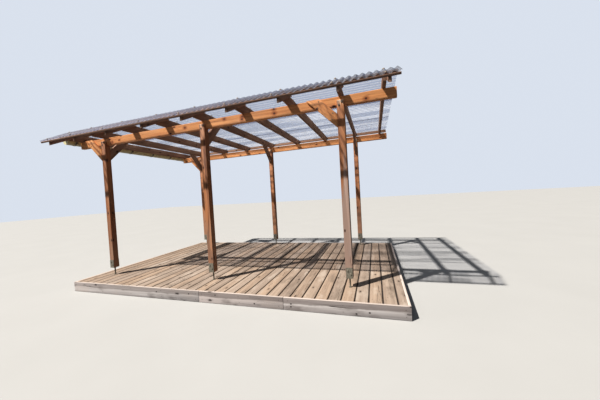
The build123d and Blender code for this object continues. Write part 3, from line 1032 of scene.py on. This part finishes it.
@dataclass
class Sheets:
    """Corrugated sheets of the roof and the apron.

    Each run is a sheet's name, its first wave, its number of waves, and whether it lies on its neighbours.
    """

    roof: Roof
    steps: int = 12
    rows: int = 6
    seat_gap: float = 0.3 * MM
    weld: float = 0.1 * MM
    shading: float = 40.0
    apron_low: float = -0.010
    main_runs: tuple[Run, ...] = (("front", 0, 14, False), ("middle", 13, 13, True), ("back", 25, 14, False))
    apron_runs: tuple[Run, ...] = (("right", -36, 36, False), ("left", -72, 37, True))

    def wave(self, name: str, waves: int, length: float) -> Piece:
        """One open corrugated skin with its waves along X from a crest at zero, and its ridges along Y.

        Args:
            name: The piece's name.
            waves: Number of waves.
            length: Length along the ridges.

        Returns:
            The sheet, with its thickness.
        """
        pitch, depth = self.roof.pitch, self.roof.depth
        near = pitch / self.steps / 4
        Bench.clear()
        bpy.ops.mesh.primitive_grid_add(x_subdivisions=self.steps, y_subdivisions=self.rows, size=1.0,
                                        location=(pitch / 2, length / 2, 0.0))
        sheet = bpy.context.active_object
        sheet.name = name
        sheet.scale = (pitch, length, 1.0)
        Bench.settle()
        Bench.edit(sheet)
        for step in range(self.steps + 1):
            place = pitch * step / self.steps
            Bench.pick(sheet, "VERT", lambda vertex, at=place: abs(vertex.co.x - at) < near)
            rise = depth / 2 * (1 + math.cos(2 * math.pi * step / self.steps))
            bpy.ops.transform.translate(value=(0.0, 0.0, rise))
        Bench.close()
        Bench.modifier(sheet, "ARRAY", count=waves, use_relative_offset=False, use_constant_offset=True,
                       constant_offset_displace=(pitch, 0.0, 0.0), use_merge_vertices=True,
                       merge_threshold=self.weld)
        Bench.modifier(sheet, "SOLIDIFY", thickness=self.roof.thick, offset=1.0, use_even_offset=True)
        return sheet

    def cut(self, sheet: Piece, place: float) -> None:
        """Saw a sheet off and close the cut.

        Args:
            sheet: The sheet, its waves along X.
            place: Where the cut goes; what lies below it along X is taken off.
        """
        Bench.edit(sheet)
        bpy.ops.mesh.bisect(plane_co=(place, 0.0, 0.0), plane_no=(1.0, 0.0, 0.0), use_fill=True,
                            clear_inner=True)
        Bench.close()

    def lift(self, on_top: bool) -> float:
        """Height of a sheet over its seat, which is more where it lies on its neighbours."""
        return self.roof.thick + 2 * self.seat_gap if on_top else self.seat_gap

    def finish(self, sheet: Piece, place: Matrix, material: bpy.types.Material, node: str) -> None:
        """Put a sheet in place, smooth it and give it its material.

        Args:
            sheet: The sheet.
            place: Its place.
            material: Its material.
            node: The CAD node that it replaces.
        """
        Bench.put(sheet, place)
        Bench.smooth(sheet, self.shading)
        Bench.dress(sheet, material, "corrugated_sheet", node)

    def main_sheets(self) -> None:
        """Make the three sheets on the purlins, with ridges along the length."""
        roof = self.roof
        crest = roof.seat[1] + roof.sheet_front
        finish = ClearSheet(across=(0.0, 1.0, 0.0), first_crest=crest, pitch=roof.pitch)
        material = finish.build("clear_main_sheet")
        quarter = Matrix.Rotation(math.radians(90.0), 4, "Z")
        for name, first, waves, on_top in self.main_runs:
            sheet = self.wave("sheet_" + name, waves, roof.right - roof.left)
            corner = Matrix.Translation((roof.right, roof.sheet_front, roof.purlin_top + self.lift(on_top)))
            place = roof.matrix @ corner @ quarter @ Matrix.Translation((first * roof.pitch, 0.0, 0.0))
            self.finish(sheet, place, material, "roof_sheet_" + name)

    def apron_sheets(self) -> None:
        """Make the two sheets that fold the roof down over the front lath, with ridges down the slope."""
        roof = self.roof
        # The apron is the same plastic as the main sheets; its darker tint is painted shade.
        finish = ClearSheet(across=(1.0, 0.0, 0.0), first_crest=roof.seat[0] + roof.right, pitch=roof.pitch,
                            tint=from_srgb(186, 187, 200), streak=from_srgb(224, 226, 236),
                            see_through=0.87, lit_through=0.5)
        material = finish.build("clear_apron_sheet_painted_shade")
        for name, first, waves, on_top in self.apron_runs:
            sheet = self.wave("apron_" + name, waves, roof.apron_top - self.apron_low)
            left_end = roof.left - roof.right - first * roof.pitch
            if left_end > 0:
                self.cut(sheet, left_end)
            shift = Matrix.Translation((roof.right + first * roof.pitch, self.apron_low, self.lift(on_top)))
            self.finish(sheet, roof.apron @ shift, material, "apron_sheet_" + name)

    def build(self) -> None:
        """Make all the sheets."""
        self.main_sheets()
        self.apron_sheets()


@dataclass
class Fasteners:
    """Masters of the screws, bolts and caps, and where they go.

    A cap's tiers are heights and tapers. A bolt's parts are sides, radius, foot, top and eased edge. The bolts
    in shoes and cheeks are given from the post's middle, and up from the ground or down from the post's top.
    Those in a brace are given along it and across it. Scatter is in millimetres.
    """

    roof: Roof
    cap_radius: float = 14.0 * MM
    seal: float = 3.0 * MM
    cap_tiers: tuple[tuple[float, float], ...] = ((5.0 * MM, 0.78), (3.0 * MM, 0.5))
    bolt_parts: tuple[tuple[float, ...], ...] = ((20, 12.0 * MM, 0.0, 2.0 * MM, 0.5 * MM),
                                                 (6, 8.5 * MM, 2.0 * MM, 8.0 * MM, 1.0 * MM))
    cap_sides: int = 12
    cap_shading: float = 50.0
    cap_seed: int = 5
    cap_scatter: float = 4.0
    bolt_seed: int = 9
    screw_sides: int = 8
    screw_radius: float = 4.5 * MM
    screw_foot: float = -0.5 * MM
    screw_top: float = 0.7 * MM
    screw_rim: float = 2.4 * MM
    recess: float = 0.9 * MM
    cap_waves: range = range(2, 39, 3)
    apron_top_inset: float = 0.045
    apron_low_row: float = 0.020
    shoe_bolts: tuple[tuple[float, float], ...] = ((0.018, 0.330), (-0.018, 0.375))
    cheek_bolts: tuple[tuple[float, float], ...] = ((-0.018, 0.065), (0.018, 0.030))
    brace_bolts: tuple[tuple[float, float], ...] = ((0.045, 0.022), (0.075, -0.022), (0.215, 0.022),
                                                    (0.245, -0.022))
    brace_cut: float = 0.0849
    brace_bolt_size: float = 0.6

    def cap(self) -> Piece:
        """Mushroom cap of a sheet screw, standing on its seal.

        Returns:
            The master.
        """
        cap = Bench.cylinder(self.cap_sides, self.cap_radius, self.seal, (0.0, 0.0, self.seal / 2))
        Bench.open_top(cap)
        for height, taper in self.cap_tiers:
            Bench.extrude(height, taper)
        Bench.close()
        return cap

    def bolt(self) -> Piece:
        """Hexagon head on a round washer, standing up from a surface.

        Returns:
            The master.
        """
        made = []
        for sides, radius, foot, top, ease in self.bolt_parts:
            part = Bench.cylinder(sides, radius, top - foot, (0.0, 0.0, (foot + top) / 2))
            Bench.open_top(part)
            bpy.ops.mesh.bevel(offset=ease, segments=1, affect="EDGES")
            Bench.close()
            made.append(part)
        return Bench.join("bolt", made)

    def screw(self) -> Piece:
        """Countersunk head with a small recess, nearly flush.

        Returns:
            The master.
        """
        middle = (self.screw_foot + self.screw_top) / 2
        depth = self.screw_top - self.screw_foot
        screw = Bench.cylinder(self.screw_sides, self.screw_radius, depth, (0.0, 0.0, middle))
        Bench.open_top(screw)
        bpy.ops.mesh.inset(thickness=self.screw_rim, depth=0.0)
        Bench.extrude(-self.recess)
        Bench.close()
        return screw

    @staticmethod
    def off(draw: random.Random, reach: float) -> float:
        """Random offset either way, as far as a reach given in millimetres."""
        return draw.uniform(-reach, reach) * MM

    @staticmethod
    def stand(point: Point, normal: Point, turn: float) -> Matrix:
        """Place on a surface: Z along the normal, turned about it."""
        face = Vector(normal).to_track_quat("Z", "Y").to_matrix().to_4x4()
        return Matrix.Translation(point) @ face @ Matrix.Rotation(turn, 4, "Z")

    def sheet_screws(self) -> None:
        """Make the capped screws over every purlin on the main sheets and along the apron."""
        roof = self.roof
        draw = random.Random(self.cap_seed)
        crest = roof.depth + roof.thick
        places = []
        for x in roof.purlins:
            for wave in self.cap_waves:
                y = roof.sheet_front + wave * roof.pitch
                point = (x + self.off(draw, self.cap_scatter), y, roof.purlin_top + crest)
                places.append(roof.matrix @ self.stand(point, UP, draw.uniform(0, ANY_TURN)))
        for x in roof.purlins:
            wave = max(1, min(round((roof.right - x) / roof.pitch), roof.apron_waves))
            for up in (roof.apron_top - self.apron_top_inset, self.apron_low_row):
                point = (roof.right - wave * roof.pitch, up, crest)
                places.append(roof.apron @ self.stand(point, UP, draw.uniform(0, ANY_TURN)))
        caps = Bench.copies("sheet_screws", self.cap(), places)
        Bench.smooth(caps, self.cap_shading)
        Bench.dress(caps, CAP.build("screw_caps"), "corrugated_sheet")

    def post_bolts(self) -> list[tuple[Point, Point]]:
        """Points and normals of the bolts in the post shoes and in the cheeks over the beams.

        Returns:
            The points and normals, post by post.
        """
        spots = []
        for row in ("front", "back"):
            for column in ("left", "middle", "right"):
                low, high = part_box(f"post_shoe_{row}_{column}")
                x = (low.x + high.x) / 2
                for side, y in ((-1.0, low.y), (1.0, high.y)):
                    spots += [((x + off, y, z), (0.0, side, 0.0)) for off, z in self.shoe_bolts]
                face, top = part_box(f"post_{row}_{column}")
                spots += [((x + off, face.y, top.z - down), FRONT) for off, down in self.cheek_bolts]
        return spots

    def brace_bolt_points(self) -> list[Point]:
        """Points of the bolts in the knee braces of the rows.

        Returns:
            The points, brace by brace.
        """
        points = []
        for node in ("row_brace_front_left", "row_brace_front_right", "row_brace_back_left"):
            low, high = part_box(node)
            points += [(high.x - run - side, low.y, low.z + self.brace_cut + run - side)
                       for run, side in self.brace_bolts]
        return points

    def frame_bolts(self) -> None:
        """Make the bolts in the post shoes, the cheeks and the braces."""
        draw = random.Random(self.bolt_seed)
        places = [self.stand(point, normal, draw.uniform(0, HEX_TURN)) for point, normal in self.post_bolts()]
        places += [self.stand(point, FRONT, draw.uniform(0, HEX_TURN)) @ Matrix.Scale(self.brace_bolt_size, 4)
                   for point in self.brace_bolt_points()]
        bolts = Bench.copies("frame_bolts", self.bolt(), places)
        Bench.dress(bolts, Zinc().build("bolt_zinc"), "galvanised_steel")

    def build(self) -> None:
        """Make the sheet screws and the frame bolts."""
        self.sheet_screws()
        self.frame_bolts()


@dataclass
class Deck:
    """Deck boards, edge boards and their screws, whose scatter is in millimetres."""

    ease: float = 3.0 * MM
    shading: float = 50.0
    seed: int = 23
    bearers: int = 7
    bearer_half: float = 0.030
    screw_inset: float = 0.030
    edge_inset: float = 0.05
    edge_spacing: float = 0.62
    edge_rows: tuple[float, ...] = (0.038, 0.112)
    scatter: tuple[float, float] = (3.0, 6.0)
    edge_scatter: tuple[float, float] = (9.0, 6.0)

    @staticmethod
    def spans(piece: Piece) -> list[tuple[float, float]]:
        """Left and right edge of every board in a node of boards, from left to right."""
        edges = sorted({round(v.co.x, 4) for v in piece.data.vertices})
        return list(zip(edges[::2], edges[1::2]))

    def boards(self, frame: dict, master: Fasteners) -> None:
        """Make boards with eased edges, each with its own tone, and a pair of screws at every bearer.

        Args:
            master: The fasteners' masters.
        """
        draw = random.Random(self.seed)
        low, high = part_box("deck_boards")
        spans = self.spans(frame["nodes"]["deck_boards"])
        made = []
        for number, (left, right) in enumerate(spans):
            near, far = (left, low.y, low.z), (right, high.y, high.z)
            made.append(Bench.block(f"board_{number}", near, far, self.ease))
            Bench.tone(made[-1], draw.random())
        deck = Bench.join("deck_planks", made)
        Bench.smooth(deck, self.shading)
        finish = replace(DECK, gap_at=(spans[0][1] + spans[1][0]) / 2, gap_pitch=spans[2][0] - spans[1][0])
        Bench.dress(deck, finish.build("deck_boards"), "deck_wood", "deck_boards")
        front, back = (corner.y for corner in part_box("deck_bearers"))
        run = back - front - 2 * self.bearer_half
        places = []
        for left, right in spans:
            for bearer in range(self.bearers):
                y = front + self.bearer_half + run * bearer / (self.bearers - 1)
                for x in (left + self.screw_inset, right - self.screw_inset):
                    dx, dy = (master.off(draw, reach) for reach in self.scatter)
                    places.append(master.stand((x + dx, y + dy, high.z), UP, draw.uniform(0, ANY_TURN)))
        screws = Bench.copies("deck_screws", master.screw(), places)
        Bench.dress(screws, SCREW.build("deck_screw_steel"), "galvanised_steel")

    def edge_screws(self, start: float, end: float, face: float, out: Point,
                    draw: random.Random) -> list[Matrix]:
        """Places of the screws in one edge board, in two rows.

        Args:
            start: Where the board starts along its run.
            end: Where it ends.
            face: Place of its outer face.
            out: Direction that this face looks in.
            draw: Source of the scatter.

        Returns:
            One matrix for each screw.
        """
        along = 0 if out[1] else 1
        count = max(2, round((end - start) / self.edge_spacing) + 1)
        places = []
        for index in range(count):
            place = start + self.edge_inset + (end - start - 2 * self.edge_inset) * index / (count - 1)
            for row in self.edge_rows:
                point = [face, face, 0.0]
                point[along] = place + Fasteners.off(draw, self.edge_scatter[0])
                point[2] = row + Fasteners.off(draw, self.edge_scatter[1])
                places.append(Fasteners.stand(point, out, draw.uniform(0, ANY_TURN)))
        return places

    def fascia(self, frame: dict, master: Fasteners) -> None:
        """Make the edge boards on all four sides, and their screws.

        Args:
            master: The fasteners' masters.
        """
        draw = random.Random(self.seed + 1)
        places = []
        for side, out in EDGES.items():
            node = "deck_fascia_" + side
            low, high = (Vector(corner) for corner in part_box(node))
            along, across = (0, 1) if out[1] else (1, 0)
            face = (low if out[across] < 0 else high)[across]
            made = []
            spans = self.spans(frame["nodes"][node]) if side == "front" else [(low[along], high[along])]
            for start, end in spans:
                low[along], high[along] = start, end
                made.append(Bench.block("edge", low, high, self.ease))
                Bench.tone(made[-1], draw.random())
                places += self.edge_screws(start, end, face, out, draw)
            piece = Bench.join("edge_boards_" + side, made)
            Bench.smooth(piece, self.shading)
            finish = FASCIA if along == 0 else FASCIA_ENDS
            Bench.dress(piece, finish.build("edge_wood_" + side), "fascia_wood", node)
        screws = Bench.copies("edge_screws", master.screw(), places)
        Bench.dress(screws, SCREW.build("edge_screw_steel"), "galvanised_steel")

    def build(self, frame: dict, master: Fasteners) -> None:
        """Make the deck boards and the edge boards, and paint the bearers.

        Args:
            master: The fasteners' masters.
        """
        self.boards(frame, master)
        self.fascia(frame, master)
        Bench.paint(frame["nodes"]["deck_bearers"], FASCIA.build("bearer_wood"))


@dataclass
class Gutter:
    """Half-round gutter with upright sides, end caps and a bead along its outer rim."""

    roof: Roof
    radius: float = 0.063
    side: float = 0.022
    top: float = 0.150
    wall: float = 2.0 * MM
    bead: float = 6.0 * MM
    bead_ease: float = 1.5 * MM
    sides: int = 48
    bead_sides: int = 16
    shading: float = 40.0
    off_purlin: float = 0.025
    past_back: float = 0.025

    def trough(self, x: float, middle: float, length: float) -> Piece:
        """Lower half of a tube with its sides drawn up.

        Args:
            x: Place of its middle line.
            middle: Middle of its length.
            length: Its length.

        Returns:
            The trough.
        """
        rim = self.top - self.side
        trough = Bench.cylinder(self.sides, self.radius, length, (x, middle, rim), LEVEL)
        Bench.edit(trough)
        bpy.ops.mesh.bisect(plane_co=(0.0, 0.0, rim), plane_no=(0.0, 0.0, 1.0), clear_outer=True)
        Bench.pick(trough, "VERT", lambda vertex: abs(vertex.co.z - rim) < 0.1 * MM)
        bpy.ops.mesh.select_mode(type="EDGE")
        bpy.ops.mesh.extrude_edges_move(TRANSFORM_OT_translate={"value": (0.0, 0.0, self.side)})
        Bench.close()
        Bench.modifier(trough, "SOLIDIFY", thickness=self.wall, offset=-1.0, use_even_offset=True)
        return trough

    def build(self, frame: dict) -> None:
        """Make the gutter in place of the plain one, and paint its brackets.
        """
        roof = self.roof
        front, back = roof.purlin_front, roof.purlin_back + self.past_back
        middle, length = (front + back) / 2, back - front
        x = roof.purlins[0] - roof.purlin_half - self.off_purlin - self.radius
        trough = self.trough(x, middle, length)
        outer = x - self.radius - self.bead + self.wall
        bead = Bench.cylinder(self.bead_sides, self.bead, length, (outer, middle, self.top - self.bead), LEVEL)
        Bench.edit(bead)
        Bench.pick(bead, "FACE", lambda face: abs(face.normal.y) > 0.9)
        bpy.ops.mesh.bevel(offset=self.bead_ease, segments=2, affect="EDGES")
        Bench.close()
        gutter = Bench.join("gutter_trough", [trough, bead])
        Bench.put(gutter, roof.matrix)
        Bench.smooth(gutter, self.shading)
        Bench.dress(gutter, GUTTER.build("gutter_coat"), "gutter_metal", "gutter")
        Bench.paint(frame["nodes"]["gutter_brackets"], Zinc().build("bracket_zinc"))


@dataclass
class Studio:
    """Floor, light and the camera at the photograph's place."""

    place: Point = (2.40584, -4.32946, 1.37212)
    yaw: float = 0.310714
    pitch: float = -0.0253399
    roll: float = -0.0590528
    lens: float = 15.129
    sensor: float = 36.0
    shift: float = 0.0105
    floor_side: float = 80.0
    floor_gap: float = 2.0 * MM
    floor_tones: tuple[Colour, Colour] = ((0.345, 0.345, 0.34), (0.375, 0.375, 0.37))
    sun_from: Point = (-0.99, -1.0, 1.905)
    sun_energy: float = 6.6
    sun_angle: float = math.radians(1.2)
    sun_colour: Colour = (1.0, 0.95, 0.88)
    soft_from: Point = (-1.0, -1.0, 0.9)
    soft_start: float = -0.2
    soft_low: float = 0.075
    soft_high: float = 0.38
    backdrop: float = 0.74
    backdrop_colour: Colour = (0.81, 0.87, 0.97)

    def camera(self) -> None:
        """Place the camera from its turn to the left, its tilt and its roll."""
        side = Vector((math.cos(self.yaw), math.sin(self.yaw), 0.0))
        level = Vector((-math.sin(self.yaw), math.cos(self.yaw), 0.0))
        upright = Vector(UP)
        ahead = level * math.cos(self.pitch) + upright * math.sin(self.pitch)
        above = upright * math.cos(self.pitch) - level * math.sin(self.pitch)
        right = side * math.cos(self.roll) + above * math.sin(self.roll)
        top = above * math.cos(self.roll) - side * math.sin(self.roll)
        data = bpy.data.cameras.new("camera")
        data.lens = self.lens
        data.sensor_width = self.sensor
        data.shift_x = self.shift
        camera = bpy.data.objects.new("camera", data)
        bpy.context.scene.collection.objects.link(camera)
        turned = Matrix((right, top, -ahead)).transposed().to_4x4()
        camera.matrix_world = Matrix.Translation(self.place) @ turned
        bpy.context.scene.camera = camera

    def sun(self) -> None:
        """Set up one high light from the front left."""
        data = bpy.data.lights.new("key", "SUN")
        data.energy = self.sun_energy
        data.angle = self.sun_angle
        data.color = self.sun_colour
        key = bpy.data.objects.new("key", data)
        bpy.context.scene.collection.objects.link(key)
        key.rotation_euler = Vector(self.sun_from).to_track_quat("Z", "Y").to_euler()

    def surround(self) -> None:
        """Set up soft light that is stronger from the sun's side, before a pale even backdrop."""
        g = Graph(bpy.data.worlds.new("surround"))
        towards = {0: g.add("TexCoord").outputs["Generated"], 1: Vector(self.soft_from).normalized()}
        facing = g.add("VectorMath", towards, operation="DOT_PRODUCT").outputs["Value"]
        soft = g.add("MapRange", {"Value": facing, "From Min": self.soft_start, "To Min": self.soft_low,
                                  "To Max": self.soft_high}).outputs[0]
        seen = g.add("LightPath").outputs["Is Camera Ray"]
        strength = g.add("MapRange", {"Value": seen, "To Min": soft, "To Max": self.backdrop}).outputs[0]
        light = g.add("Background", {"Color": (*self.backdrop_colour, 1.0), "Strength": strength})
        bpy.context.scene.world = g.finish(light, "OutputWorld")

    def floor(self) -> None:
        """Lay a pale plain floor under the pergola."""
        Bench.clear()
        bpy.ops.mesh.primitive_plane_add(size=self.floor_side, location=(0.0, 0.0, -self.floor_gap))
        floor = bpy.context.active_object
        floor.name = "floor"
        g = Graph(bpy.data.materials.new("floor_paint"))
        colour = g.mix(g.noise(g.place()), *self.floor_tones)
        Bench.paint(floor, g.surface({"Base Color": colour, "Roughness": 0.9}))
        floor.visible_diffuse = False

    def build(self) -> None:
        """Set up the whole studio."""
        bpy.context.scene.view_settings.view_transform = "Standard"
        bpy.context.scene.view_settings.look = "Medium High Contrast"
        self.camera()
        self.sun()
        self.surround()
        self.floor()
        LOG.info("studio ready")


def paint_shoes(frame: dict) -> None:
    """Give the post shoes their zinc.
    """
    zinc = Zinc().build("shoe_zinc")
    for node, piece in frame["nodes"].items():
        if "shoe" in node:
            Bench.paint(piece, zinc)


def main() -> None:
    """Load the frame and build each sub-assembly in order."""
    logging.basicConfig(level=logging.INFO, format="%(message)s")
    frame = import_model()
    roof = Roof()
    fasteners = Fasteners(roof)
    Studio().build()
    Timbers().build(frame, roof)
    Sheets(roof).build()
    Deck().build(frame, fasteners)
    Gutter(roof).build(frame)
    fasteners.build()
    paint_shoes(frame)


if __name__ == "__main__":
    main()
